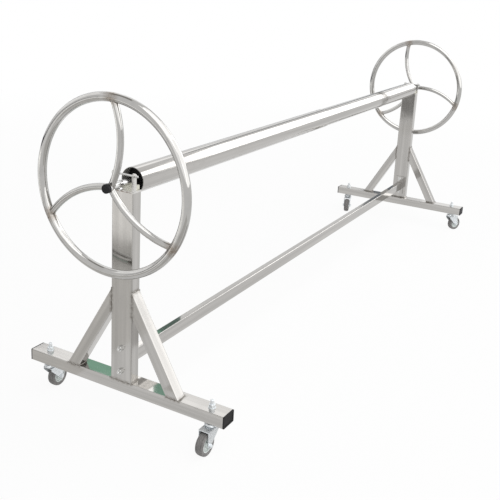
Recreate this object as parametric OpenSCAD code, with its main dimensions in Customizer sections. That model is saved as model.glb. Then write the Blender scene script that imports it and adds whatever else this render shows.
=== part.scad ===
// Pool cover reel: two wheeled A-frames joined by a low crossbar, carrying a
// telescopic roller with a large handwheel outside each frame.
// Millimetres, +Z up. X runs along the roller, Y across the feet, and the origin
// is on the floor in the middle of the reel.

/* [Overall] */
// Distance between the planes of the two handwheels, along X
wheel_span = 2872; // [1800:1:5000]
// Height of the roller axis over the floor
axis_h = 800; // [740:1:1000]
// Length of each foot across the reel, caps included
foot_len = 770; // [680:1:1100]
// Handwheel plane to the outer faces of foot and post
wheel_offset = 56; // [50:1:80]

/* [A-frame] */
// Height of the foot's underside over the floor
foot_z = 105; // [105:1:140]
// Foot tube size along X
foot_w = 60; // [54:1:90]
// Foot tube size along Z
foot_h = 40; // [30:1:60]
// Post tube size along Y
post_w = 80; // [70:1:120]
// Post tube size along X
post_d = 40; // [36:1:54]
// Drop from the roller axis to the top of the post tube
post_drop = 26; // [24:1:40]
// Side of the square brace tube
brace_size = 40; // [30:1:40]
// Lean of the braces away from the upright
brace_lean = 30; // [26:1:36]
// Distance of each brace's outer toe from the middle of the foot
brace_toe = 220; // [180:1:250]
// Wall of the frame tubes
frame_wall = 2; // [1.5:0.5:3]
// Outer corner radius of the frame tubes
tube_corner = 3; // [2:0.5:4]
// Thickness of the lip of the foot end caps
cap_lip = 4; // [3:0.5:8]

/* [Crossbar] */
// Crossbar tube size along Y
crossbar_w = 25; // [20:1:40]
// Crossbar tube size along Z
crossbar_h = 45; // [35:1:50]
// Foot top to the underside of the crossbar
crossbar_rise = 47; // [46:1:60]
// End flange size along Y
flange_w = 50; // [40:1:70]
// End flange thickness
flange_t = 5; // [4:1:8]
// Distance between the two bolts of a flange
flange_pitch = 80; // [76:1:90]
// Bolt diameter at the flanges
flange_bolt = 10; // [8:1:12]

/* [Roller] */
// Outer diameter of the larger roller tube
outer_tube_d = 83; // [75:1:110]
// Wall of both roller tubes
roller_wall = 1.9; // [1.5:0.1:3]
// Where the larger tube ends and the smaller one comes out, along X
seam_x = 75; // [-300:1:300]
// Length of the smaller tube hidden in the larger one
nest_len = 250; // [150:1:400]
// Gap between the post's inner face and the end of the roller
roller_gap = 9; // [6:1:20]
// Depth of the end plugs below the ends of the roller
plug_recess = 32; // [20:1:60]
// Length of the end plugs
plug_len = 40; // [30:1:80]
// Axle diameter
axle_d = 20; // [16:0.5:24]

/* [Saddle] */
// Width of the saddle's ears along X
ear_w = 16; // [16:1:36]
// Thickness of the saddle plate
saddle_t = 6; // [4:0.5:8]
// Height of the ears over the roller axis
ear_rise = 35; // [33:1:50]
// Height of the keeper bolt's centre over the roller axis
keeper_rise = 27; // [20:1:27]
// Keeper bolt diameter
keeper_d = 6; // [6:1:8]
// Drop from the roller axis to the top of the bearing block
block_drop = 6; // [2:1:6]

/* [Handwheel] */
// Outer diameter of the rim
rim_d = 560; // [420:1:640]
// Diameter of the rim tube
rim_tube = 28; // [20:1:34]
// Diameter of the spoke tubes
spoke_tube = 21; // [16:0.5:21]
// How far the spokes bow out sideways
spoke_bow = 31; // [15:1:45]
// Wall of the rim and spoke tubes
wheel_wall = 1.5; // [1:0.5:2.5]
// Outer diameter of the hub sleeve
hub_d = 26; // [25:1:34]
// Turn of the left handwheel about the axle at rest
left_turn = 91.5; // [0:0.5:360]
// Turn of the right handwheel about the axle at rest
right_turn = 102.5; // [0:0.5:360]

/* [Casters] */
// Tyre diameter
tyre_d = 75; // [60:1:80]
// Tyre width
tyre_w = 26; // [20:1:28]
// Distance from the swivel axis to the wheel axis
caster_trail = 34; // [30:1:38]
// Distance of the swivel axes from the ends of the foot
caster_inset = 60; // [50:1:90]
// Stud diameter
stud_d = 12; // [10:1:14]
// Swivel angle of the left front caster at rest
turn_lf = 179; // [0:1:360]
// Swivel angle of the left back caster at rest
turn_lb = 2; // [0:1:360]
// Swivel angle of the right front caster at rest
turn_rf = 330; // [0:1:360]
// Swivel angle of the right back caster at rest
turn_rb = 195; // [0:1:360]

/* [Hidden] */
$fn = 64;

// Places along X, for the left end; the right end mirrors them
wheel_x = -wheel_span / 2;
face_x = wheel_x + wheel_offset;
post_in_x = face_x + post_d;
foot_mid_x = face_x + foot_w / 2;
roller_x = post_in_x + roller_gap;
hub_out_x = wheel_x - 22;
hub_in_x = face_x - 4;
axle_in_x = roller_x + plug_recess + plug_len + 6;

// Heights
foot_top = foot_z + foot_h;
post_top = axis_h - post_drop;
crossbar_z = foot_top + crossbar_rise;
bolt_mid_z = crossbar_z + crossbar_h / 2 + 6;
flange_h = flange_pitch + 28;

// Roller tubes
inner_tube_d = outer_tube_d - 2 * roller_wall - 0.2;

// Handwheel
rim_r = (rim_d - rim_tube) / 2;
spoke_r = rim_r * rim_r / (8 * spoke_bow) + spoke_bow / 2;
spoke_half = asin(rim_r / 2 / spoke_r);

// Casters
caster_y = foot_len / 2 - caster_inset;
pin_z = tyre_d / 2;
fork_top_z = tyre_d + 10;
fork_gap = tyre_w / 2 + 3;
fork_t = 2.5;
fork_back = -16;
fork_front = caster_trail + 8.7;
race_d = 44;
core_d = tyre_d * 0.66;
caster_pin_d = 8;

// A rectangle with round corners
module round_rect(w, h, r) {
    square([w - 2 * r, h], center = true);
    square([w, h - 2 * r], center = true);
    for (x = [-1, 1])
        for (y = [-1, 1])
            translate([x * (w / 2 - r), y * (h / 2 - r)])
                circle(r = r);
}

// The wall of a rectangular tube, seen from its end
module tube_section(w, h) {
    difference() {
        round_rect(w, h, tube_corner);
        round_rect(w - 2 * frame_wall, h - 2 * frame_wall, tube_corner * 0.5);
    }
}

// A hexagon prism with its top corners chamfered, flats across Y
module hex_body(flats, h) {
    intersection() {
        rotate([0, 0, 30])
            cylinder(d = flats / cos(30), h = h, $fn = 6);
        rotate_extrude()
            polygon([[0, 0], [flats * 0.58, 0], [flats * 0.58, h - flats * 0.07], [flats * 0.47, h], [0, h]]);
    }
}

// A hexagon nut on the Z axis
module hex_nut(flats, h, bore) {
    difference() {
        hex_body(flats, h);
        translate([0, 0, -1])
            cylinder(d = bore, h = h + 2);
    }
}

// A bolt along +Z: its head below z = 0, its shank ending in a chamfer at z = len
module hex_bolt(d, len, flats, head_h) {
    mirror([0, 0, 1])
        hex_body(flats, head_h);
    rotate_extrude()
        polygon([[0, -0.5], [d / 2, -0.5], [d / 2, len - d * 0.1], [d * 0.4, len], [0, len]]);
}

// Puts something built for the left end at the chosen end
module at_end(side) {
    if (side < 0) {
        children();
    } else {
        mirror([1, 0, 0])
            children();
    }
}

// Puts something built for the front of a foot at the front or the back
module at_row(row) {
    if (row < 0) {
        children();
    } else {
        mirror([0, 1, 0])
            children();
    }
}

// Foot tube along Y, drilled for the caster studs
module foot(side) {
    color("silver")
        at_end(side)
            difference() {
                translate([foot_mid_x, foot_len / 2 - cap_lip, foot_z + foot_h / 2])
                    rotate([90, 0, 0])
                        linear_extrude(foot_len - 2 * cap_lip)
                            tube_section(foot_w, foot_h);
                for (y = [-caster_y, caster_y])
                    translate([foot_mid_x, y, foot_z - 1])
                        cylinder(d = stud_d + 0.6, h = foot_h + 2);
            }
}

// Push-in end cap of a foot, with a panelled face and a spigot in the tube
module foot_cap(side, row) {
    color("black")
        at_end(side)
            at_row(row)
                translate([foot_mid_x, -foot_len / 2, foot_z + foot_h / 2])
                    rotate([-90, 0, 0])
                        difference() {
                            union() {
                                linear_extrude(cap_lip)
                                    round_rect(foot_w, foot_h, tube_corner);
                                linear_extrude(cap_lip + 22)
                                    round_rect(foot_w - 2 * frame_wall - 0.4, foot_h - 2 * frame_wall - 0.4,
                                               tube_corner * 0.5);
                            }
                            translate([0, 0, -1])
                                linear_extrude(2)
                                    round_rect(foot_w - 10, foot_h - 10, 2);
                            translate([0, 0, cap_lip])
                                linear_extrude(30)
                                    round_rect(foot_w - 2 * frame_wall - 6, foot_h - 2 * frame_wall - 6, 1);
                        }
}

// Upright post tube, drilled for the crossbar bolts
module post(side) {
    color("silver")
        at_end(side)
            difference() {
                translate([face_x + post_d / 2, 0, foot_top])
                    linear_extrude(post_top - foot_top)
                        tube_section(post_d, post_w);
                for (z = [-0.5, 0.5])
                    translate([face_x - 1, 0, bolt_mid_z + z * flange_pitch])
                        rotate([0, 90, 0])
                            cylinder(d = flange_bolt + 0.4, h = post_d + 2);
            }
}

// Brace tube leaning from the foot to the side of the post, mitred at both ends
module brace(side, row) {
    run = (brace_toe + post_w) / sin(brace_lean);
    color("silver")
        at_end(side)
            at_row(row)
                intersection() {
                    translate([face_x + brace_size / 2, -brace_toe, foot_top])
                        rotate([-brace_lean, 0, 0])
                            translate([0, brace_size / 2, -brace_size])
                                linear_extrude(run)
                                    tube_section(brace_size, brace_size);
                    translate([face_x - 1, -brace_toe - 100, foot_top])
                        cube([brace_size + 2, brace_toe + 100 - post_w / 2, axis_h]);
                }
}

// Plate that closes the post, with two round-topped ears beside the axle
module saddle(side) {
    ear_mid = ear_w / 2;
    color("silver")
        at_end(side)
            translate([face_x, 0, 0])
                difference() {
                    union() {
                        translate([0, -post_w / 2, post_top])
                            cube([post_d, post_w, saddle_t]);
                        for (y = [-post_w / 2, post_w / 2 - saddle_t]) {
                            translate([0, y, post_top])
                                cube([ear_w, saddle_t, post_drop + ear_rise - ear_mid]);
                            translate([ear_mid, y, axis_h + ear_rise - ear_mid])
                                rotate([-90, 0, 0])
                                    cylinder(d = ear_w, h = saddle_t);
                        }
                    }
                    translate([ear_mid, -post_w / 2 - 1, axis_h + keeper_rise])
                        rotate([-90, 0, 0])
                            cylinder(d = keeper_d + 0.4, h = post_w + 2);
                }
}

// Plastic bearing block on the saddle, with a shallow round seat under the axle
module cradle(side) {
    color("beige")
        at_end(side)
            difference() {
                translate([face_x + 1, saddle_t - post_w / 2, post_top + saddle_t])
                    cube([post_d - 2, post_w - 2 * saddle_t, post_drop - saddle_t - block_drop]);
                translate([face_x, 0, axis_h])
                    rotate([0, 90, 0])
                        cylinder(d = axle_d + 0.1, h = post_d);
            }
}

// Bolts over the axles, from ear to ear
module keeper_bolts() {
    color("gainsboro")
        for (side = [-1, 1])
            at_end(side)
                translate([face_x + ear_w / 2, post_w / 2, axis_h + keeper_rise])
                    rotate([90, 0, 0])
                        hex_bolt(keeper_d, post_w + keeper_d * 1.9, keeper_d * 1.625, keeper_d * 0.66);
}

// Nuts of the keeper bolts
module keeper_nuts() {
    color("gainsboro")
        for (side = [-1, 1])
            at_end(side)
                translate([face_x + ear_w / 2, -post_w / 2, axis_h + keeper_rise])
                    rotate([90, 0, 0])
                        hex_nut(keeper_d * 1.625, keeper_d * 0.8, keeper_d + 0.1);
}

// Low rectangular tube between the two end flanges
module crossbar() {
    bar_x = post_in_x + flange_t;
    color("silver")
        translate([bar_x, 0, crossbar_z + crossbar_h / 2])
            rotate([90, 0, 90])
                linear_extrude(-2 * bar_x)
                    tube_section(crossbar_w, crossbar_h);
}

// End flange of the crossbar, bolted to the post
module flange(side) {
    color("silver")
        at_end(side)
            translate([post_in_x, 0, bolt_mid_z])
                rotate([90, 0, 90])
                    difference() {
                        linear_extrude(flange_t)
                            round_rect(flange_w, flange_h, 4);
                        for (z = [-0.5, 0.5])
                            translate([0, z * flange_pitch, -1])
                                cylinder(d = flange_bolt + 0.4, h = flange_t + 2);
                    }
}

// Bolts through flange and post, heads on the flange
module flange_bolts() {
    color("gainsboro")
        for (side = [-1, 1])
            at_end(side)
                for (z = [-0.5, 0.5])
                    translate([post_in_x + flange_t, 0, bolt_mid_z + z * flange_pitch])
                        rotate([0, -90, 0])
                            hex_bolt(flange_bolt, flange_t + post_d + flange_bolt * 1.6,
                                     flange_bolt * 1.6, flange_bolt * 0.64);
}

// Nuts on the outer faces of the posts
module flange_nuts() {
    color("gainsboro")
        for (side = [-1, 1])
            at_end(side)
                for (z = [-0.5, 0.5])
                    translate([face_x, 0, bolt_mid_z + z * flange_pitch])
                        rotate([0, -90, 0])
                            hex_nut(flange_bolt * 1.6, flange_bolt * 0.8, flange_bolt + 0.1);
}

// A round tube along X
module round_tube(x0, x1, d, wall) {
    translate([x0, 0, axis_h])
        rotate([0, 90, 0])
            difference() {
                cylinder(d = d, h = x1 - x0);
                translate([0, 0, -1])
                    cylinder(d = d - 2 * wall, h = x1 - x0 + 2);
            }
}

// Larger roller tube, on the left
module outer_tube() {
    color("lightgray")
        round_tube(roller_x, seam_x, outer_tube_d, roller_wall);
}

// Smaller roller tube, on the right
module inner_tube() {
    color("lightgray")
        round_tube(seam_x - nest_len, -roller_x, inner_tube_d, roller_wall);
}

// Plastic end plug of the roller, recessed in the tube, with a raised rim and hub
module plug(side, d) {
    r = d / 2 - roller_wall - 0.1;
    color("black")
        at_end(side)
            translate([roller_x + plug_recess, 0, axis_h])
                rotate([0, 90, 0])
                    rotate_extrude()
                        polygon([[axle_d / 2 + 0.05, 0], [axle_d / 2 + 6, 0], [axle_d / 2 + 7, 3],
                                 [r - 5, 3], [r - 4, 0], [r, 0], [r, plug_len], [r - 4, plug_len],
                                 [r - 4, 15], [axle_d / 2 + 7, 15], [axle_d / 2 + 7, plug_len],
                                 [axle_d / 2 + 0.05, plug_len]]);
}

// Axle from the hub cap through the saddle into the plug, with a small blind hole
// in its top beside the ears
module axle(side) {
    color("gainsboro")
        at_end(side)
            difference() {
                translate([hub_out_x, 0, axis_h])
                    rotate([0, 90, 0])
                        rotate_extrude()
                            polygon([[0, 0], [axle_d / 2 - 1, 0], [axle_d / 2, 1],
                                     [axle_d / 2, axle_in_x - hub_out_x], [0, axle_in_x - hub_out_x]]);
                translate([face_x + ear_w + 6, 0, axis_h + axle_d / 2 - 5])
                    cylinder(d = 4, h = 10);
            }
}

// Hub sleeve over the axle, drilled for its set screw
module hub(side) {
    color("silver")
        at_end(side)
            difference() {
                round_tube(hub_out_x, hub_in_x, hub_d, (hub_d - axle_d) / 2 - 0.05);
                hub_screw_place()
                    cylinder(d = 8.4, h = hub_d);
            }
}

// Place of the hub set screw: under the sleeve, on its front side
module hub_screw_place() {
    translate([hub_in_x - 18, 0, axis_h])
        rotate([135, 0, 0])
            children();
}

// Set screws that fix the handwheels to the axles
module hub_screws() {
    color("gainsboro")
        for (side = [-1, 1])
            at_end(side)
                hub_screw_place()
                    translate([0, 0, axle_d / 2]) {
                        cylinder(d = 8, h = (hub_d - axle_d) / 2 + 1);
                        translate([0, 0, (hub_d - axle_d) / 2 + 0.3])
                            hex_body(13, 5.3);
                    }
}

// Black cap pushed over the outer end of the hub sleeve
module hub_cap(side) {
    color("black")
        at_end(side)
            translate([hub_out_x - 4, 0, axis_h])
                rotate([0, 90, 0])
                    difference() {
                        rotate_extrude()
                            polygon([[0, 0], [hub_d / 2 - 0.8, 0], [hub_d / 2 + 0.6, 0.6],
                                     [hub_d / 2 + 1.2, 2], [hub_d / 2 + 1.2, 13], [0, 13]]);
                        translate([0, 0, 4])
                            cylinder(d = hub_d + 0.2, h = 20);
                    }
}

// Ring of bent tube
module rim(side) {
    color("silver")
        at_end(side)
            translate([wheel_x, 0, axis_h])
                rotate([0, 90, 0])
                    rotate_extrude($fn = 128)
                        translate([rim_r, 0])
                            difference() {
                                circle(d = rim_tube);
                                circle(d = rim_tube - 2 * wheel_wall);
                            }
}

// One bowed spoke lying in the XY plane, from the origin to the rim's centre line on +X
module spoke_arc(d) {
    translate([rim_r / 2, spoke_bow - spoke_r, 0])
        rotate([0, 0, 90 - spoke_half])
            rotate_extrude(angle = 2 * spoke_half, $fn = 96)
                translate([spoke_r, 0])
                    circle(d = d);
}

// Three bowed spokes, coped to the hub sleeve and to the rim; both wheels are the
// same wheel, its outer face turned to the end of the reel
module spokes(side, turn) {
    color("silver")
        rotate([0, 0, side < 0 ? 0 : 180])
            translate([wheel_x, 0, axis_h])
                rotate([90, 0, 90])
                    for (k = [0, 120, 240])
                        rotate([0, 0, turn + k])
                            difference() {
                                spoke_arc(spoke_tube);
                                spoke_arc(spoke_tube - 2 * wheel_wall);
                                translate([0, 0, -40])
                                    cylinder(d = hub_d + 0.04, h = 80);
                                rotate_extrude($fn = 128)
                                    translate([rim_r, 0])
                                        circle(d = rim_tube + 0.04);
                            }
}

// Places something built on the swivel axis, pointing along +X, at one caster
module at_caster(side, row, turn) {
    translate([-side * foot_mid_x, row * caster_y, 0])
        rotate([0, 0, turn])
            children();
}

// Fixed half of a caster: stud, collar, upper ball cup and king pin
module caster_stem(side, row, turn) {
    cup_z = fork_top_z + 6;
    color("gainsboro")
        at_caster(side, row, turn)
            rotate_extrude()
                polygon([[0, fork_top_z - 8], [8, fork_top_z - 8], [8, fork_top_z - 5], [5, fork_top_z - 3.3],
                         [5, cup_z + 0.3], [race_d / 2 - 5, cup_z + 0.3], [race_d / 2 - 1, cup_z - 1.5],
                         [race_d / 2, cup_z - 1], [race_d / 2 - 3, cup_z + 4], [race_d / 2 - 8, cup_z + 5.5],
                         [14, foot_z - 5], [11, foot_z - 4], [11, foot_z], [stud_d / 2, foot_z],
                         [stud_d / 2, foot_top + 26], [stud_d / 2 - 1.2, foot_top + 27.2],
                         [0, foot_top + 27.2]]);
}

// Side plate of the fork in the XZ plane: as long as the top plate at its top,
// upright at the front, slanting at the back to the round end at the axle
module fork_side() {
    polygon([[fork_back, fork_top_z - 8], [fork_back, fork_top_z], [fork_front, fork_top_z],
             [fork_front, pin_z], [caster_trail - 4.8, pin_z - 7.2],
             [fork_back + 3, fork_top_z - 13]]);
    translate([caster_trail, pin_z])
        circle(r = 9);
}

// Swivelling fork: two side plates under a top plate with the lower ball cup
module caster_fork(side, row, turn) {
    color("gainsboro")
        at_caster(side, row, turn)
            difference() {
                union() {
                    for (y = [-1, 1])
                        translate([0, y * (fork_gap + fork_t / 2) + fork_t / 2, 0])
                            rotate([90, 0, 0])
                                linear_extrude(fork_t)
                                    fork_side();
                    translate([fork_back, -fork_gap, fork_top_z - 3])
                        cube([fork_front - fork_back, 2 * fork_gap, 3]);
                    rotate_extrude()
                        polygon([[4.5, fork_top_z - 2], [race_d / 2 - 7.5, fork_top_z - 2],
                                 [race_d / 2 - 7.5, fork_top_z + 0.4], [race_d / 2 - 4, fork_top_z + 1],
                                 [race_d / 2 - 3, fork_top_z + 3.6], [race_d / 2 - 6, fork_top_z + 5.6],
                                 [4.5, fork_top_z + 5.6]]);
                }
                translate([0, 0, fork_top_z - 10])
                    cylinder(d = 10.2, h = 30);
                translate([caster_trail, -40, pin_z])
                    rotate([-90, 0, 0])
                        cylinder(d = caster_pin_d + 0.2, h = 80);
            }
}

// Axle bolt of a caster with its nut
module caster_pin(side, row, turn) {
    reach = fork_gap + fork_t;
    color("gainsboro")
        at_caster(side, row, turn)
            translate([caster_trail, -reach, pin_z])
                rotate([-90, 0, 0]) {
                    hex_bolt(caster_pin_d, 2 * reach + 9, 13, 5);
                    translate([0, 0, 2 * reach])
                        hex_body(13, 6.5);
                }
}

// Crowned rubber tyre with two shallow grooves
module caster_tyre(side, row, turn) {
    r = tyre_d / 2;
    w = tyre_w / 2;
    color("gray")
        at_caster(side, row, turn)
            translate([caster_trail, 0, pin_z])
                rotate([90, 0, 0])
                    rotate_extrude()
                        polygon([[core_d / 2, -w + 2], [core_d / 2 + 3, -w], [r - 5, -w], [r - 2, -w + 1],
                                 [r - 1, -w + 3.4], [r - 0.6, -w + 5.2], [r - 1.6, -w + 5.8],
                                 [r - 0.4, -w + 6.4], [r, -2], [r, 2], [r - 0.4, w - 6.4],
                                 [r - 1.6, w - 5.8], [r - 0.6, w - 5.2], [r - 1, w - 3.4],
                                 [r - 2, w - 1], [r - 5, w], [core_d / 2 + 3, w],
                                 [core_d / 2, w - 2]]);
}

// Wheel centre: hub tube, thin disc and outer band
module caster_core(side, row, turn) {
    r = core_d / 2;
    w = tyre_w / 2;
    color("lightgray")
        at_caster(side, row, turn)
            translate([caster_trail, 0, pin_z])
                rotate([90, 0, 0])
                    rotate_extrude()
                        polygon([[caster_pin_d / 2 + 0.08, -w - 2.4], [8, -w - 2.4], [9, -5], [r - 4, -5],
                                 [r - 3, -w + 2], [r, -w + 2], [r, w - 2], [r - 3, w - 2], [r - 4, 5],
                                 [9, 5], [8, w + 2.4], [caster_pin_d / 2 + 0.08, w + 2.4]]);
}

// Nuts on the caster studs
module stud_nuts() {
    color("gainsboro")
        for (side = [-1, 1])
            for (row = [-1, 1])
                translate([side * -foot_mid_x, row * caster_y, foot_top + 2.5])
                    rotate([0, 0, 15 + 20 * row])
                        hex_nut(stud_d * 1.58, stud_d * 0.88, stud_d + 0.1);
}

// Washers under the stud nuts
module stud_washers() {
    color("gainsboro")
        for (side = [-1, 1])
            for (row = [-1, 1])
                translate([side * -foot_mid_x, row * caster_y, foot_top])
                    difference() {
                        cylinder(d = stud_d * 2, h = 2.5);
                        translate([0, 0, -1])
                            cylinder(d = stud_d + 0.5, h = 5);
                    }
}

foot(-1);  // left_foot
foot(1);  // right_foot
post(-1);  // left_post
post(1);  // right_post
brace(-1, -1);  // left_brace_front
brace(-1, 1);  // left_brace_back
brace(1, -1);  // right_brace_front
brace(1, 1);  // right_brace_back
foot_cap(-1, -1);  // left_cap_front
foot_cap(-1, 1);  // left_cap_back
foot_cap(1, -1);  // right_cap_front
foot_cap(1, 1);  // right_cap_back
saddle(-1);  // left_saddle
saddle(1);  // right_saddle
cradle(-1);  // left_cradle
cradle(1);  // right_cradle
keeper_bolts();
keeper_nuts();
crossbar();
flange(-1);  // left_flange
flange(1);  // right_flange
flange_bolts();
flange_nuts();
outer_tube();
inner_tube();
plug(-1, outer_tube_d);  // left_plug
plug(1, inner_tube_d);  // right_plug
axle(-1);  // left_axle
axle(1);  // right_axle
hub(-1);  // left_hub
hub(1);  // right_hub
rim(-1);  // left_rim
rim(1);  // right_rim
spokes(-1, left_turn);  // left_spokes
spokes(1, right_turn);  // right_spokes
hub_cap(-1);  // left_hub_cap
hub_cap(1);  // right_hub_cap
hub_screws();
stud_nuts();
stud_washers();
caster_stem(-1, -1, turn_lf);  // caster_lf_stem
caster_fork(-1, -1, turn_lf);  // caster_lf_fork
caster_pin(-1, -1, turn_lf);  // caster_lf_pin
caster_tyre(-1, -1, turn_lf);  // caster_lf_tyre
caster_core(-1, -1, turn_lf);  // caster_lf_core
caster_stem(-1, 1, turn_lb);  // caster_lb_stem
caster_fork(-1, 1, turn_lb);  // caster_lb_fork
caster_pin(-1, 1, turn_lb);  // caster_lb_pin
caster_tyre(-1, 1, turn_lb);  // caster_lb_tyre
caster_core(-1, 1, turn_lb);  // caster_lb_core
caster_stem(1, -1, turn_rf);  // caster_rf_stem
caster_fork(1, -1, turn_rf);  // caster_rf_fork
caster_pin(1, -1, turn_rf);  // caster_rf_pin
caster_tyre(1, -1, turn_rf);  // caster_rf_tyre
caster_core(1, -1, turn_rf);  // caster_rf_core
caster_stem(1, 1, turn_rb);  // caster_rb_stem
caster_fork(1, 1, turn_rb);  // caster_rb_fork
caster_pin(1, 1, turn_rb);  // caster_rb_pin
caster_tyre(1, 1, turn_rb);  // caster_rb_tyre
caster_core(1, 1, turn_rb);  // caster_rb_core
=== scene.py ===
import math
from collections import namedtuple

import bmesh
import bpy
from mathutils import Matrix, Vector


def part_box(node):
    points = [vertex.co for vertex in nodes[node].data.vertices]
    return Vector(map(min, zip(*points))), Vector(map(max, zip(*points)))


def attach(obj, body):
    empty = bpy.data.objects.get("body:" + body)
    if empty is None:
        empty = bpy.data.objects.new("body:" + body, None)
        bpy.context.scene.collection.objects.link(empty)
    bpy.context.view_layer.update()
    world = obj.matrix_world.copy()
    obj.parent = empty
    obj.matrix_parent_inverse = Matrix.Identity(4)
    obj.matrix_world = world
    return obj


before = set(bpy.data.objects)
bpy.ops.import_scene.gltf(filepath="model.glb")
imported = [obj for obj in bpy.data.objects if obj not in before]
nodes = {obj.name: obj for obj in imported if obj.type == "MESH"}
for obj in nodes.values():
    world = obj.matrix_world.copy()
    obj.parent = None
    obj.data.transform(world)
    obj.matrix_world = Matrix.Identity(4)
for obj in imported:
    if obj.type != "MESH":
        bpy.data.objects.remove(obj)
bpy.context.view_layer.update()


# Places and sizes of the reel, in metres, from the frame

X, Y, Z = range(3)
sides = ("left", "right")


def middle(node):
    """Middle of a node's box."""
    lo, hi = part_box(node)
    return (lo + hi) / 2


def half(node):
    """Half the size of a node's box."""
    lo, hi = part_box(node)
    return (hi - lo) / 2


wheel_x, axis_z = middle("right_rim").x, middle("outer_tube").z
rim_tube_r = half("right_rim").x
rim_r = half("right_rim").y - rim_tube_r
spoke_tube_r = half("right_spokes").x
hub_r = half("right_hub").y
lean = math.atan2(half("right_brace_back").y, half("right_brace_back").z)

# How far the spokes bow out, and the turn of the handwheels about the axle in degrees
spoke_bow = 0.031
wheel_turn = {"left": 91.5, "right": 102.5}

# A weld seam: the outline of a rectangle from lo to hi, flat along one axis
Seam = namedtuple("Seam", "lo hi flat")


def frame_seams():
    """Seams at the post's foot, a brace's toe and a brace's top, in the right back quarter of the frame.
    The other quarters mirror them."""
    foot_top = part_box("right_foot")[1].z
    lo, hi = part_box("right_post")
    post = Seam(Vector((lo.x, lo.y, foot_top)), Vector((hi.x, hi.y, foot_top)), Z)
    lo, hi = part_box("right_brace_back")
    size = hi.x - lo.x
    toe_y, top_z = hi.y - size / math.cos(lean), hi.z - size / math.sin(lean)
    toe = Seam(Vector((lo.x, toe_y, foot_top)), Vector((hi.x, hi.y, foot_top)), Z)
    top = Seam(Vector((lo.x, lo.y, top_z)), Vector((hi.x, lo.y, hi.z)), Y)
    return post, toe, top


post_seam, toe_seam, top_seam = frame_seams()


def bar_seam():
    """Seam round the crossbar at its right flange."""
    lo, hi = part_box("crossbar")
    flange_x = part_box("right_flange")[0].x
    return Seam(Vector((flange_x, lo.y, lo.z)), Vector((flange_x, hi.y, hi.z)), X)


def wheel_middle(side):
    """Middle of a handwheel."""
    return Vector((-wheel_x if side == "left" else wheel_x, 0, axis_z))


def spoke_ways(side):
    """For each spoke of a handwheel, the way from the hub to its rim end and the way along the rim."""
    facing = 1 if side == "left" else -1
    ways = []
    for step in (0, 120, 240):
        a = math.radians(wheel_turn[side] + step)
        ways.append((Vector((0, facing * math.cos(a), math.sin(a))),
                     Vector((0, -facing * math.sin(a), math.cos(a)))))
    return ways


# Object and node helpers

def new_object(name, data):
    """An object in the scene."""
    obj = bpy.data.objects.new(name, data)
    bpy.context.scene.collection.objects.link(obj)
    return obj


def link(tree, a, b):
    tree.links.new(a, b)


def bare_tree(owner, output="ShaderNodeOutputMaterial"):
    """The emptied node tree of a material or world, and its new output node."""
    owner.use_nodes = True
    tree = owner.node_tree
    tree.nodes.clear()
    return tree, tree.nodes.new(output)


def new_material(name):
    """A material with a Principled shader; returns material, tree and shader."""
    mat = bpy.data.materials.new(name)
    tree, out = bare_tree(mat)
    bsdf = tree.nodes.new("ShaderNodeBsdfPrincipled")
    link(tree, bsdf.outputs["BSDF"], out.inputs["Surface"])
    return mat, tree, bsdf


def shader_of(mat):
    """The tree and the Principled shader of a material."""
    tree = mat.node_tree
    return tree, next(n for n in tree.nodes if n.type == "BSDF_PRINCIPLED")


def math_node(tree, op, a, b=None, clamp=False):
    """One arithmetic step on sockets or numbers."""
    n = tree.nodes.new("ShaderNodeMath")
    n.operation = op
    n.use_clamp = clamp
    for i, v in enumerate((a, b)):
        if isinstance(v, (int, float)):
            n.inputs[i].default_value = v
        elif v is not None:
            link(tree, v, n.inputs[i])
    return n.outputs[0]


def place(tree):
    """Object coordinates in metres, which are the reel's own at rest."""
    return tree.nodes.new("ShaderNodeTexCoord").outputs["Object"]


def place_parts(tree):
    """The X, Y and Z sockets of the object coordinates."""
    parts = tree.nodes.new("ShaderNodeSeparateXYZ")
    link(tree, place(tree), parts.inputs[0])
    return parts.outputs


def coords(tree, scale=(1, 1, 1), rotation=(0, 0, 0)):
    """Object coordinates, turned and then stretched."""
    turn = tree.nodes.new("ShaderNodeMapping")
    turn.inputs["Rotation"].default_value = rotation
    link(tree, place(tree), turn.inputs["Vector"])
    size = tree.nodes.new("ShaderNodeMapping")
    size.inputs["Scale"].default_value = scale
    link(tree, turn.outputs["Vector"], size.inputs["Vector"])
    return size.outputs["Vector"]


def noise(tree, vector, scale=1.0, detail=3.0, roughness=0.5):
    """A cloudy pattern from 0 to 1."""
    n = tree.nodes.new("ShaderNodeTexNoise")
    n.inputs["Scale"].default_value = scale
    n.inputs["Detail"].default_value = detail
    n.inputs["Roughness"].default_value = roughness
    link(tree, vector, n.inputs["Vector"])
    return n.outputs["Fac"]


def spread(tree, value, low, high, to_low, to_high):
    """Maps value from low..high to to_low..to_high, clamped."""
    n = tree.nodes.new("ShaderNodeMapRange")
    for i, v in enumerate((low, high, to_low, to_high)):
        n.inputs[1 + i].default_value = v
    link(tree, value, n.inputs[0])
    return n.outputs[0]


def least_of(tree, values):
    """The smallest of several sockets."""
    least, *others = values
    for v in others:
        least = math_node(tree, "MINIMUM", least, v)
    return least


def distance_from(tree, point):
    """Distance from a point of the reel, in metres."""
    n = tree.nodes.new("ShaderNodeVectorMath")
    n.operation = "DISTANCE"
    link(tree, place(tree), n.inputs[0])
    n.inputs[1].default_value = point
    return n.outputs["Value"]


def length_of(tree, a, b):
    """Square root of a squared and b squared."""
    return math_node(tree, "SQRT", math_node(tree, "ADD", math_node(tree, "MULTIPLY", a, a),
                                             math_node(tree, "MULTIPLY", b, b)))


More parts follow.
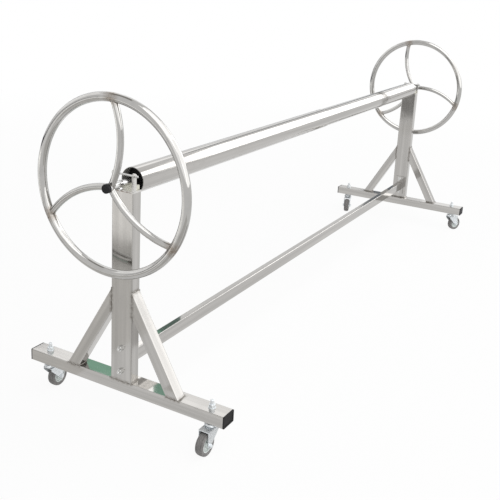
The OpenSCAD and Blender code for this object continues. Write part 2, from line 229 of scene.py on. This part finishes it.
def seam_distance(tree, seam):
    """Distance from a seam, the same in all four quarters of the frame, as X and Y lose their signs."""
    vector = place(tree)
    middle_at, half_size = (seam.lo + seam.hi) / 2, (seam.hi - seam.lo) / 2
    for operation, value in (("ABSOLUTE", None), ("SUBTRACT", middle_at),
                             ("ABSOLUTE", None), ("SUBTRACT", half_size)):
        n = tree.nodes.new("ShaderNodeVectorMath")
        n.operation = operation
        link(tree, vector, n.inputs[0])
        if value is not None:
            n.inputs[1].default_value = value
        vector = n.outputs["Vector"]
    parts = tree.nodes.new("ShaderNodeSeparateXYZ")
    link(tree, vector, parts.inputs[0])
    a, b = (parts.outputs[i] for i in range(3) if i != seam.flat)
    return length_of(tree, math_node(tree, "MAXIMUM", a, b), parts.outputs[seam.flat])


def blend_colour(tree, fac, a, b):
    """Mixes two colours, each a tuple or a socket."""
    n = tree.nodes.new("ShaderNodeMix")
    n.data_type = "RGBA"
    for socket, v in ((n.inputs[0], fac), (n.inputs[6], a), (n.inputs[7], b)):
        if isinstance(v, tuple):
            socket.default_value = (*v, 1.0)
        else:
            link(tree, v, socket)
    return n.outputs[2]


def bump(tree, bsdf, *layers):
    """Chains bump layers of (height, distance in metres, strength)."""
    last = None
    for height, distance, strength in layers:
        n = tree.nodes.new("ShaderNodeBump")
        n.inputs["Strength"].default_value = strength
        n.inputs["Distance"].default_value = distance
        link(tree, height, n.inputs["Height"])
        if last is not None:
            link(tree, last, n.inputs["Normal"])
        last = n.outputs["Normal"]
    link(tree, last, bsdf.inputs["Normal"])


def overlay(mat, mask, colour, rough):
    """Lays a colour over a finished material where mask is 1, rougher there by rough."""
    tree, bsdf = shader_of(mat)
    under = bsdf.inputs["Base Color"].links[0].from_socket
    link(tree, blend_colour(tree, mask, under, colour), bsdf.inputs["Base Color"])
    smooth = bsdf.inputs["Roughness"].links[0].from_socket
    link(tree, math_node(tree, "ADD", smooth, math_node(tree, "MULTIPLY", mask, rough)),
         bsdf.inputs["Roughness"])


# Metals

def tube_steel(name, along, turn=0.0, tone=(0.460, 0.448, 0.431), gloss=0.09):
    """Mirror stainless tube: fine lines along it, faint rolling streaks, smudges and wavy flats."""
    mat, tree, bsdf = new_material(name)
    bsdf.inputs["Metallic"].default_value = 1.0
    fine, wide = [700, 700, 700], [60, 60, 60]
    fine[along], wide[along] = 6, 1.2
    lines = noise(tree, coords(tree, fine, (turn, 0, 0)), 1.0, 2.0, 0.6)
    streaks = noise(tree, coords(tree, wide, (turn, 0, 0)), 1.0, 3.0, 0.55)
    smudge = noise(tree, coords(tree), 9.0, 4.0, 0.6)
    waves = noise(tree, coords(tree), 3.5, 1.0, 0.4)
    dark, light, film = (tuple(c * share for c in tone) for share in (0.88, 1.07, 0.93))
    colour = blend_colour(tree, spread(tree, streaks, 0.35, 0.65, 0, 1), dark, light)
    colour = blend_colour(tree, spread(tree, smudge, 0.52, 0.74, 0, 0.55), colour, film)
    link(tree, colour, bsdf.inputs["Base Color"])
    rough = math_node(tree, "ADD", spread(tree, lines, 0.3, 0.7, gloss * 0.75, gloss * 1.25),
                      spread(tree, smudge, 0.5, 0.75, 0, 0.09))
    link(tree, rough, bsdf.inputs["Roughness"])
    bump(tree, bsdf, (waves, 0.004, 0.35), (streaks, 0.00012, 0.3), (lines, 0.00003, 0.25))
    return mat


def heat_tint(mat, seams, reach=0.002, fade=0.008):
    """Brown and grey scale beside the seams of a finished material, in patches."""
    tree = mat.node_tree
    away = least_of(tree, [seam_distance(tree, seam) for seam in seams])
    blot = spread(tree, noise(tree, coords(tree), 95.0, 3.0, 0.6), 0.38, 0.62, 0.15, 0.75)
    mask = math_node(tree, "MULTIPLY", spread(tree, away, reach, reach + fade, 1, 0), blot)
    overlay(mat, mask, (0.17, 0.15, 0.13), 0.2)
    return mat


def roller_steel(name, node):
    """Tube steel outside, dull scaled tube inside."""
    mat = tube_steel(name, X, gloss=0.08)
    tree, bsdf = shader_of(mat)
    parts = place_parts(tree)
    radius = length_of(tree, math_node(tree, "SUBTRACT", parts[Z], axis_z), parts[Y])
    outer_r = half(node).z
    inside = spread(tree, radius, outer_r - 0.0012, outer_r - 0.0008, 1, 0)
    flakes = noise(tree, coords(tree, (4, 90, 90)), 1.0, 3.0, 0.6)
    overlay(mat, inside, blend_colour(tree, flakes, (0.22, 0.22, 0.21), (0.42, 0.42, 0.40)), 0.4)
    link(tree, spread(tree, inside, 0, 1, 1.0, 0.12), bsdf.inputs["Metallic"])
    return mat


def wheel_steel(name, side, tone=(0.45, 0.443, 0.430), gloss=0.055):
    """Polished bent tube: gentle ripples, polishing swirls, straw and brown tint beside the welds."""
    mat, tree, bsdf = new_material(name)
    bsdf.inputs["Metallic"].default_value = 1.0
    ripple = noise(tree, coords(tree), 16.0, 1.0, 0.4)
    swirl = noise(tree, coords(tree), 420.0, 3.0, 0.6)
    smudge = noise(tree, coords(tree), 22.0, 4.0, 0.6)
    dull = tuple(c * 0.9 for c in tone)
    colour = blend_colour(tree, spread(tree, smudge, 0.45, 0.72, 0, 1), tone, dull)
    joints = [wheel_middle(side) + rim_r * radial for radial, _ in spoke_ways(side)]
    away = least_of(tree, [distance_from(tree, joint) for joint in joints])
    tint = spread(tree, away, 0.013, 0.033, 1, 0)
    burnt = spread(tree, noise(tree, coords(tree), 120.0, 2.0, 0.5), 0.35, 0.65, 0.35, 0.85)
    colour = blend_colour(tree, math_node(tree, "MULTIPLY", tint, burnt), colour, (0.20, 0.155, 0.115))
    link(tree, colour, bsdf.inputs["Base Color"])
    rough = math_node(tree, "ADD", spread(tree, swirl, 0.3, 0.7, gloss * 0.8, gloss * 1.3),
                      math_node(tree, "ADD", spread(tree, smudge, 0.5, 0.75, 0, 0.07),
                                math_node(tree, "MULTIPLY", tint, 0.12)))
    link(tree, rough, bsdf.inputs["Roughness"])
    bump(tree, bsdf, (ripple, 0.0012, 0.25), (swirl, 0.00002, 0.3))
    return mat


def saddle_steel(name):
    """Flat bar with a dull rolled face, darker and brown in patches low on its plate, away from its -Y
    edge.
    """
    mat = tube_steel(name, Z, tone=(0.60, 0.59, 0.57), gloss=0.32)
    tree = mat.node_tree
    parts = place_parts(tree)
    plate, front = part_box("right_saddle")[0].z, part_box("right_saddle")[0].y
    # Darker brown in patches over the lowest few millimetres, fading out towards the -Y edge
    low = spread(tree, parts[Z], plate + 0.0015, plate + 0.0055, 1, 0)
    inner = spread(tree, parts[Y], front + 0.004, front + 0.018, 0, 1)
    blot = spread(tree, noise(tree, coords(tree), 110.0, 3.0, 0.6), 0.4, 0.6, 0.25, 0.85)
    mask = math_node(tree, "MULTIPLY", math_node(tree, "MULTIPLY", low, inner), blot)
    overlay(mat, mask, (0.20, 0.13, 0.085), 0.3)
    return mat


def weld_steel(name):
    """Weld bead: dull, burnt grey and straw in patches, with fine scale."""
    mat, tree, bsdf = new_material(name)
    bsdf.inputs["Metallic"].default_value = 0.8
    cloud = noise(tree, coords(tree), 140.0, 3.0, 0.6)
    scale = noise(tree, coords(tree), 900.0, 2.0, 0.6)
    burnt, straw = (0.13, 0.115, 0.10), (0.34, 0.33, 0.31)
    colour = blend_colour(tree, spread(tree, cloud, 0.35, 0.65, 0, 1), burnt, straw)
    link(tree, colour, bsdf.inputs["Base Color"])
    link(tree, spread(tree, cloud, 0.3, 0.7, 0.48, 0.3), bsdf.inputs["Roughness"])
    bump(tree, bsdf, (scale, 0.0001, 0.5))
    return mat


def bolt_steel(name, tone=(0.66, 0.66, 0.65), gloss=0.24):
    """Turned or pressed fastener steel: mottled, with fine tool marks."""
    mat, tree, bsdf = new_material(name)
    bsdf.inputs["Metallic"].default_value = 1.0
    mottle = noise(tree, coords(tree), 260.0, 3.0, 0.6)
    marks = noise(tree, coords(tree, (1500, 1500, 300)), 1.0, 2.0, 0.5)
    dark = tuple(c * 0.8 for c in tone)
    colour = blend_colour(tree, spread(tree, mottle, 0.35, 0.7, 0, 1), dark, tone)
    link(tree, colour, bsdf.inputs["Base Color"])
    link(tree, spread(tree, mottle, 0.3, 0.7, gloss * 0.7, gloss * 1.4), bsdf.inputs["Roughness"])
    bump(tree, bsdf, (marks, 0.00005, 0.4))
    return mat


def zinc(name):
    """Zinc plated pressed steel with a faint spangle and dull patches."""
    mat, tree, bsdf = new_material(name)
    bsdf.inputs["Metallic"].default_value = 0.55
    cells = tree.nodes.new("ShaderNodeTexVoronoi")
    cells.inputs["Scale"].default_value = 190.0
    link(tree, coords(tree), cells.inputs["Vector"])
    spangle = tree.nodes.new("ShaderNodeRGBToBW")
    link(tree, cells.outputs["Color"], spangle.inputs[0])
    spangle = spangle.outputs[0]
    dull = noise(tree, coords(tree), 38.0, 4.0, 0.6)
    grey, pale, film = (0.70, 0.73, 0.75), (0.82, 0.85, 0.87), (0.56, 0.57, 0.58)
    colour = blend_colour(tree, spread(tree, spangle, 0.2, 0.9, 0, 0.5), grey, pale)
    colour = blend_colour(tree, spread(tree, dull, 0.5, 0.75, 0, 0.7), colour, film)
    link(tree, colour, bsdf.inputs["Base Color"])
    rough = math_node(tree, "ADD", spread(tree, spangle, 0, 1, 0.2, 0.3),
                      spread(tree, dull, 0.45, 0.75, 0, 0.2))
    link(tree, rough, bsdf.inputs["Roughness"])
    bump(tree, bsdf, (dull, 0.0004, 0.25))
    return mat


# Plastics and rubber

def plastic(name, dark, light, rough, grain, dust, sheen=0.5):
    """Moulded plastic: fine grain, slight gloss change, dust in patches."""
    mat, tree, bsdf = new_material(name)
    bsdf.inputs["Specular IOR Level"].default_value = sheen
    cloud = noise(tree, coords(tree), 30.0, 4.0, 0.55)
    pores = noise(tree, coords(tree), grain, 2.0, 0.5)
    colour = blend_colour(tree, spread(tree, cloud, 0.35, 0.7, 0, 1), dark, light)
    specks = spread(tree, noise(tree, coords(tree), 420.0, 3.0, 0.7), 0.56, 0.74, 0, dust)
    colour = blend_colour(tree, specks, colour, (0.36, 0.35, 0.33))
    link(tree, colour, bsdf.inputs["Base Color"])
    link(tree, spread(tree, cloud, 0.3, 0.7, rough * 0.85, rough * 1.2), bsdf.inputs["Roughness"])
    bump(tree, bsdf, (pores, 0.00008, 0.5), (cloud, 0.0005, 0.12))
    return mat


def rubber(name):
    """Grey tyre rubber: dull, dusty in its pores."""
    mat, tree, bsdf = new_material(name)
    cloud = noise(tree, coords(tree), 55.0, 4.0, 0.6)
    pores = noise(tree, coords(tree), 1100.0, 2.0, 0.6)
    dark, light, dust = (0.150, 0.144, 0.141), (0.235, 0.226, 0.222), (0.33, 0.32, 0.31)
    colour = blend_colour(tree, spread(tree, cloud, 0.3, 0.7, 0, 1), dark, light)
    colour = blend_colour(tree, spread(tree, pores, 0.55, 0.8, 0, 0.5), colour, dust)
    link(tree, colour, bsdf.inputs["Base Color"])
    link(tree, spread(tree, cloud, 0.3, 0.7, 0.55, 0.8), bsdf.inputs["Roughness"])
    bump(tree, bsdf, (pores, 0.0001, 0.7), (cloud, 0.0004, 0.3))
    return mat


# Materials of the CAD nodes

def dress(mat, *names):
    """Puts one material on every slot of some CAD nodes."""
    for name in names:
        mesh = nodes[name].data
        if not mesh.materials:
            mesh.materials.append(mat)
        for i in range(len(mesh.materials)):
            mesh.materials[i] = mat


black = plastic("black_plastic", (0.010, 0.010, 0.011), (0.018, 0.018, 0.019),
                rough=0.5, grain=900.0, dust=0.05, sheen=0.16)
fastener = bolt_steel("fastener_steel")


def dress_frame():
    """Feet, posts, braces, saddles, bearing blocks and crossbar, with their bolts."""
    foot = heat_tint(tube_steel("foot_tube", Y), (post_seam, toe_seam))
    post = heat_tint(tube_steel("post_tube", Z), (post_seam, top_seam))
    saddle = saddle_steel("saddle_steel")
    bearing = plastic("bearing_plastic", (0.60, 0.59, 0.50), (0.72, 0.71, 0.63),
                      rough=0.5, grain=500.0, dust=0.1)
    braces = {row: heat_tint(tube_steel(f"brace_{row}", Z, turn), (toe_seam, top_seam))
              for row, turn in (("front", lean), ("back", -lean))}
    for side in sides:
        dress(foot, f"{side}_foot")
        dress(post, f"{side}_post", f"{side}_flange")
        dress(saddle, f"{side}_saddle")
        dress(bearing, f"{side}_cradle")
        for row in braces:
            dress(braces[row], f"{side}_brace_{row}")
            dress(black, f"{side}_cap_{row}")
    dress(tube_steel("crossbar_tube", X), "crossbar")
    dress(fastener, "keeper_bolts", "keeper_nuts", "flange_bolts", "flange_nuts")


def dress_roller():
    """Roller tubes, plugs, axles and handwheels."""
    axle = bolt_steel("axle_steel", tone=(0.70, 0.70, 0.69), gloss=0.15)
    dress(roller_steel("larger_tube", "outer_tube"), "outer_tube")
    dress(roller_steel("smaller_tube", "inner_tube"), "inner_tube")
    for side in sides:
        dress(wheel_steel(f"{side}_wheel_steel", side), f"{side}_rim", f"{side}_spokes")
        dress(axle, f"{side}_axle", f"{side}_hub")
        dress(black, f"{side}_plug", f"{side}_hub_cap")
    dress(fastener, "hub_screws")


def dress_casters():
    """Casters and the nuts of their studs."""
    core = plastic("core_plastic", (0.62, 0.66, 0.645), (0.72, 0.76, 0.745),
                   rough=0.4, grain=700.0, dust=0.08)
    tyre = rubber("tyre_rubber")
    plated = zinc("plated_steel")
    dress(plated, "stud_nuts", "stud_washers")
    for corner in ("lf", "lb", "rf", "rb"):
        dress(plated, *(f"caster_{corner}_{part}" for part in ("stem", "fork", "pin")))
        dress(tyre, f"caster_{corner}_tyre")
        dress(core, f"caster_{corner}_core")


dress_frame()
dress_roller()
dress_casters()


# Weld beads

weld_mat = weld_steel("weld_bead")
bead_sides = 6
bead_step = 0.0012
ripple_steps, ripple_share = 3, 0.09
frame_bead_r, bar_bead_r, wheel_bead_r = 0.0019, 0.0016, 0.0015
# Draws a seam on the frame in along X, so that its beads sink into the outer faces
bead_sink = Vector((0.0008, 0, 0))
across_reel = Vector((1, 0, 0))


def outline(lo, hi, flat):
    """Points a step apart round the rectangle lo..hi, flat along one axis."""
    a, b = (i for i in range(3) if i != flat)
    corners = []
    for u, v in ((lo, lo), (hi, lo), (hi, hi), (lo, hi)):
        corner = Vector(lo)
        corner[a], corner[b] = u[a], v[b]
        corners.append(corner)
    points = []
    for start, end in zip(corners, corners[1:] + corners[:1]):
        steps = round((end - start).length / bead_step)
        points += [start.lerp(end, i / steps) for i in range(steps)]
    return points


def coped_end(hub, radial, tangent, at_rim):
    """Points round one coped end of a spoke, on the rim tube or the hub sleeve, and the spoke's way."""
    arc_r = rim_r ** 2 / (8 * spoke_bow) + spoke_bow / 2
    bend = math.asin(rim_r / 2 / arc_r) * (-1 if at_rim else 1)
    out = math.cos(bend) * radial + math.sin(bend) * tangent
    beside = math.cos(bend) * tangent - math.sin(bend) * radial
    steps = round(2 * math.pi * spoke_tube_r / bead_step)
    points = []
    for i in range(steps):
        t = 2 * math.pi * i / steps
        across, deep = spoke_tube_r * math.cos(t), spoke_tube_r * math.sin(t)
        offset = across * beside + deep * across_reel
        if at_rim:
            back = (offset.dot(radial) + math.sqrt(rim_tube_r ** 2 - deep ** 2)) / out.dot(radial)
            points.append(hub + rim_r * radial + offset - back * out)
        else:
            points.append(hub + offset + math.sqrt(hub_r ** 2 - across ** 2) * out)
    return points, out


def bead(bm, points, up, radius):
    """A rippled bead round a closed loop of points."""
    rings = []
    for i, p in enumerate(points):
        along = (points[(i + 1) % len(points)] - points[i - 1]).normalized()
        n = (up - up.dot(along) * along).normalized()
        b = along.cross(n)
        r = radius * (1 + ripple_share * math.cos(2 * math.pi * i / ripple_steps))
        turns = [2 * math.pi * k / bead_sides for k in range(bead_sides)]
        rings.append([bm.verts.new(p + r * (math.cos(a) * n + math.sin(a) * b)) for a in turns])
    for i, ring in enumerate(rings):
        for k in range(bead_sides):
            bm.faces.new((rings[i - 1][k], ring[k], ring[k - 1], rings[i - 1][k - 1]))


def weld_piece(name, bm, body):
    """Turns the beads into one smooth piece that rides on a body."""
    bmesh.ops.recalc_face_normals(bm, faces=bm.faces)
    mesh = bpy.data.meshes.new(name)
    bm.to_mesh(mesh)
    bm.free()
    for face in mesh.polygons:
        face.use_smooth = True
    mesh.materials.append(weld_mat)
    piece = new_object(name, mesh)
    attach(piece, body)


def frame_welds(side):
    """Beads where the post and the braces meet the foot and each other, and at the crossbar's end."""
    bm = bmesh.new()
    end = 1 if side == "right" else -1
    for seam, row in ((post_seam, 1), (toe_seam, 1), (top_seam, 1), (toe_seam, -1), (top_seam, -1)):
        points = outline(seam.lo + bead_sink, seam.hi - bead_sink, seam.flat)
        up = Vector([1.0 if i == seam.flat else 0.0 for i in range(3)])
        bead(bm, [p * Vector((end, row, 1)) for p in points], up, frame_bead_r)
    bead(bm, [p * Vector((end, 1, 1)) for p in outline(*bar_seam())], across_reel, bar_bead_r)
    weld_piece(f"{side}_frame_welds", bm, "frame")


def wheel_welds(side):
    """Beads round both coped ends of each spoke."""
    bm = bmesh.new()
    for radial, tangent in spoke_ways(side):
        for at_rim in (True, False):
            points, up = coped_end(wheel_middle(side), radial, tangent, at_rim)
            bead(bm, points, up, wheel_bead_r)
    weld_piece(f"{side}_wheel_welds", bm, "roller")


for side in sides:
    frame_welds(side)
    wheel_welds(side)


# Floor and backdrop

floor_radius = 30
floor_tone = 0.90
# The floor that the camera sees is plain white from shadow_end on, measured from its middle, and
# within shadow_reach all but a small share of it
shadow_reach, shadow_end, white_share = 1.8, 6.0, 0.92
fill_strength, backdrop_strength = 0.22, 1.0


def seen(tree):
    """1 for rays from the camera, off gloss or through glass, else 0."""
    path = tree.nodes.new("ShaderNodeLightPath")
    s = math_node(tree, "ADD", path.outputs["Is Camera Ray"], path.outputs["Is Glossy Ray"])
    return math_node(tree, "ADD", s, path.outputs["Is Transmission Ray"], clamp=True)


def mix_shaders(tree, share, a, b, target):
    """Shows shader a, or b where share is 1."""
    mix = tree.nodes.new("ShaderNodeMixShader")
    for i, socket in enumerate((share, a.outputs[0], b.outputs[0])):
        link(tree, socket, mix.inputs[i])
    link(tree, mix.outputs[0], target.inputs["Surface"])


def make_floor():
    """Pale paper that catches light and shadow, and fades to white away from the reel."""
    bpy.ops.mesh.primitive_circle_add(vertices=96, radius=floor_radius, fill_type="NGON",
                                      location=(0, 0, 0))
    floor = bpy.context.object
    floor.name = "studio_floor"
    mat = bpy.data.materials.new("pale_floor")
    tree, out = bare_tree(mat)
    paper = tree.nodes.new("ShaderNodeBsdfDiffuse")
    paper.inputs["Color"].default_value = (floor_tone, floor_tone, floor_tone, 1)
    glow = tree.nodes.new("ShaderNodeEmission")
    glow.inputs["Color"].default_value = (1, 1, 1, 1)
    glow.inputs["Strength"].default_value = 1.0
    away = tree.nodes.new("ShaderNodeVectorMath")
    away.operation = "LENGTH"
    link(tree, place(tree), away.inputs[0])
    share = spread(tree, away.outputs["Value"], shadow_reach, shadow_end, white_share, 1.0)
    mix_shaders(tree, math_node(tree, "MULTIPLY", seen(tree), share), paper, glow, out)
    floor.data.materials.append(mat)


def make_world():
    """Dim light from all round, and plain white where the world is seen or mirrored."""
    world = bpy.data.worlds.new("studio")
    bpy.context.scene.world = world
    tree, out = bare_tree(world, "ShaderNodeOutputWorld")
    whites = []
    for strength in (fill_strength, backdrop_strength):
        white = tree.nodes.new("ShaderNodeBackground")
        white.inputs["Color"].default_value = (1, 1, 1, 1)
        white.inputs["Strength"].default_value = strength
        whites.append(white)
    mix_shaders(tree, seen(tree), *whites, out)


# Lights

reel_middle = Vector((0, 0, 0.5))
window_distance = 20.0


def way_to(azimuth, elevation):
    """Unit vector at an azimuth from +X and an elevation, both in degrees."""
    a, e = math.radians(azimuth), math.radians(elevation)
    return Vector((math.cos(e) * math.cos(a), math.cos(e) * math.sin(a), math.sin(e)))


def softbox(name, at, width, height, radiance):
    """A flat light that faces the reel."""
    data = bpy.data.lights.new(name, "AREA")
    data.shape = "RECTANGLE"
    data.size, data.size_y = width, height
    data.energy = math.pi * width * height * radiance
    box = new_object(name, data)
    box.location = at
    box.rotation_euler = (reel_middle - Vector(at)).to_track_quat("-Z", "Y").to_euler()
    box.visible_camera = False


def window(name, azimuths, elevations, radiance):
    """A far softbox that fills the given directions as seen from the middle of the reel. Degrees."""
    azimuth, elevation = sum(azimuths) / 2, sum(elevations) / 2
    half_wide = math.radians((azimuths[1] - azimuths[0]) / 2)
    half_high = math.radians((elevations[1] - elevations[0]) / 2)
    width = 2 * window_distance * math.cos(math.radians(elevation)) * math.tan(half_wide)
    height = 2 * window_distance * math.tan(half_high)
    softbox(name, reel_middle + window_distance * way_to(azimuth, elevation), width, height, radiance)


# Glowing sheets that only mirrored rays see: painted reflections in the metal

near_wheel = wheel_middle("left")
floor_gap, strip_gap, high_gap = 0.004, 0.006, 3.0


def glossy_only(name, verts, faces, colour):
    """A plain glowing sheet that shows in what the metal mirrors, and nowhere else: a painted reflection.
    """
    mesh = bpy.data.meshes.new(name)
    mesh.from_pydata(verts, [], faces)
    sheet = new_object(name, mesh)
    mat = bpy.data.materials.new(name)
    tree, out = bare_tree(mat)
    glow = tree.nodes.new("ShaderNodeEmission")
    glow.inputs["Color"].default_value = (*colour, 1)
    link(tree, glow.outputs[0], out.inputs["Surface"])
    mesh.materials.append(mat)
    for ray in ("camera", "diffuse", "transmission", "shadow"):
        setattr(sheet, f"visible_{ray}", False)


def patch(name, x, y, width, depth, colour, z=floor_gap):
    """A flat sheet round x, y, just over the floor or hung at a height."""
    w, d = width / 2, depth / 2
    corners = [(x - w, y - d, z), (x + w, y - d, z), (x + w, y + d, z), (x - w, y + d, z)]
    glossy_only(name, corners, [(0, 1, 2, 3)], colour)


def upright(name, x, ys, zs, colour):
    """A standing sheet facing along X."""
    corners = [(x, ys[0], zs[0]), (x, ys[1], zs[0]), (x, ys[1], zs[1]), (x, ys[0], zs[1])]
    glossy_only(name, corners, [(0, 1, 2, 3)], colour)


def cloth(name, azimuths, elevations, colour, radius, centre):
    """A curved sheet round a centre, between two azimuths from +X and two elevations. Degrees."""
    steps, rows = 24, 5
    verts, faces = [], []
    for i in range(steps + 1):
        azimuth = azimuths[0] + (azimuths[1] - azimuths[0]) * i / steps
        for j in range(rows):
            elevation = elevations[0] + (elevations[1] - elevations[0]) * j / (rows - 1)
            verts.append(tuple(centre + radius * way_to(azimuth, elevation)))
    for i in range(steps):
        for j in range(rows - 1):
            k = i * rows + j
            faces.append((k, k + rows, k + rows + 1, k + 1))
    glossy_only(name, verts, faces, colour)


def hang_curved_sheets():
    """Painted reflections: dark and grey lines on the rims, the roller and the far post."""
    cloth("low_dark_reflection", (50, 140), (-6.0, -1.8), (0.09, 0.09, 0.10), 7.5, near_wheel)
    cloth("edge_grey_reflection", (40, 64), (-7, 19), (0.27, 0.27, 0.29), 6.0, near_wheel)
    cloth("slim_grey_reflection", (15, 18.5), (8, 36), (0.22, 0.24, 0.26), 13.0, reel_middle)
    cloth("far_grey_reflection", (12, 40), (-2.3, 6), (0.45, 0.46, 0.48), 12.0, reel_middle)


def lay_flat_sheets():
    """Painted reflections: light and dark places on the near post and foot, the rims and the roller."""
    patch("floor_grey_reflection", -2.60, 0.95, 0.36, 1.1, (0.62, 0.61, 0.59))
    patch("floor_light_reflection", -3.30, 1.30, 1.02, 1.3, (1.25, 1.24, 1.22))
    patch("floor_dark_reflection", -2.55, 0.95, 0.035, 1.1, (0.06, 0.06, 0.06), strip_gap)
    patch("big_bright_reflection", -2.65, 3.55, 2.9, 3.2, (1.9, 1.9, 1.87))
    patch("left_grey_reflection", -2.185, -0.75, 1.13, 1.5, (0.74, 0.73, 0.71))
    patch("front_grey_reflection", -1.05, -0.78, 0.6, 0.86, (0.66, 0.65, 0.64))
    patch("wheel_dark_reflection", -0.25, 2.98, 1.9, 3.84, (0.36, 0.35, 0.35))
    patch("back_grey_reflection", -1.91, 0.63, 1.02, 0.64, (0.84, 0.83, 0.81))
    patch("high_grey_reflection", -1.35, 0.95, 1.3, 1.0, (0.42, 0.41, 0.39), high_gap)


def stand_upright_sheets():
    """Painted reflections: the dark block on a post, and the patches on the foot and the crossbar."""
    upright("post_dark_reflection", -2.0, (0.80, 1.30), (0.06, 0.62), (0.36, 0.355, 0.35))
    upright("green_reflection_wide", -1.0, (0.30, 0.50), (0.335, 0.44), (0.36, 0.66, 0.50))
    upright("toe_reflection_green", -1.0, (0.05, 0.14), (0.335, 0.44), (0.30, 0.52, 0.41))
    upright("white_reflection", -1.0, (0.14, 0.297), (0.335, 0.44), (2.1, 2.1, 2.1))
    upright("bar_dark_reflection", -0.6, (0.285, 0.42), (0.46, 0.62), (0.17, 0.24, 0.21))


def hang_lights():
    """Windows that the metal mirrors, and two softboxes for plain light."""
    window("front_window", (-36, 1), (9, 37), 2.15)
    window("back_window", (20, 56), (26, 50), 0.6)
    window("low_window", (1, 14), (9, 20), 0.3)
    window("rear_window", (58, 126), (10, 44), 0.5)
    window("left_window", (180, 236), (28, 76), 1.3)
    window("low_left_window", (182, 248), (3, 27), 0.6)
    softbox("key_light", (0.5, -7.0, 4.4), 14.0, 8.0, 1.1)
    softbox("top_light", (0.0, -2.0, 6.5), 7.0, 4.5, 1.15)


make_floor()
make_world()
hang_curved_sheets()
lay_flat_sheets()
stand_upright_sheets()
hang_lights()


# Camera, from a pinhole fit to the photograph

cam_place = (-3.1978, -1.4018, 1.4281)
cam_azimuth, cam_elevation, cam_roll = 1.0567, -0.2713, 0.0476
focal_px, axis_px = 791.27, (232.0, 190.0)
picture_px = 500
sensor_mm = 36.0


def make_camera():
    """Turns the camera by its azimuth from +Y, elevation and roll in radians, and shifts it to the axis."""
    forward = way_to(90 - math.degrees(cam_azimuth), math.degrees(cam_elevation))
    right = forward.cross(Vector((0, 0, 1))).normalized()
    up = right.cross(forward)
    rolled_right = math.cos(cam_roll) * right + math.sin(cam_roll) * up
    rolled_up = -math.sin(cam_roll) * right + math.cos(cam_roll) * up
    data = bpy.data.cameras.new("photo_camera")
    cam = new_object("photo_camera", data)
    turn = Matrix((rolled_right, rolled_up, -forward)).transposed().to_4x4()
    cam.matrix_world = Matrix.Translation(cam_place) @ turn
    data.sensor_width = sensor_mm
    data.lens = focal_px / picture_px * sensor_mm
    data.shift_x = (picture_px / 2 - axis_px[0]) / picture_px
    data.shift_y = (axis_px[1] - picture_px / 2) / picture_px
    bpy.context.scene.camera = cam


make_camera()
bpy.context.scene.view_settings.view_transform = "Standard"
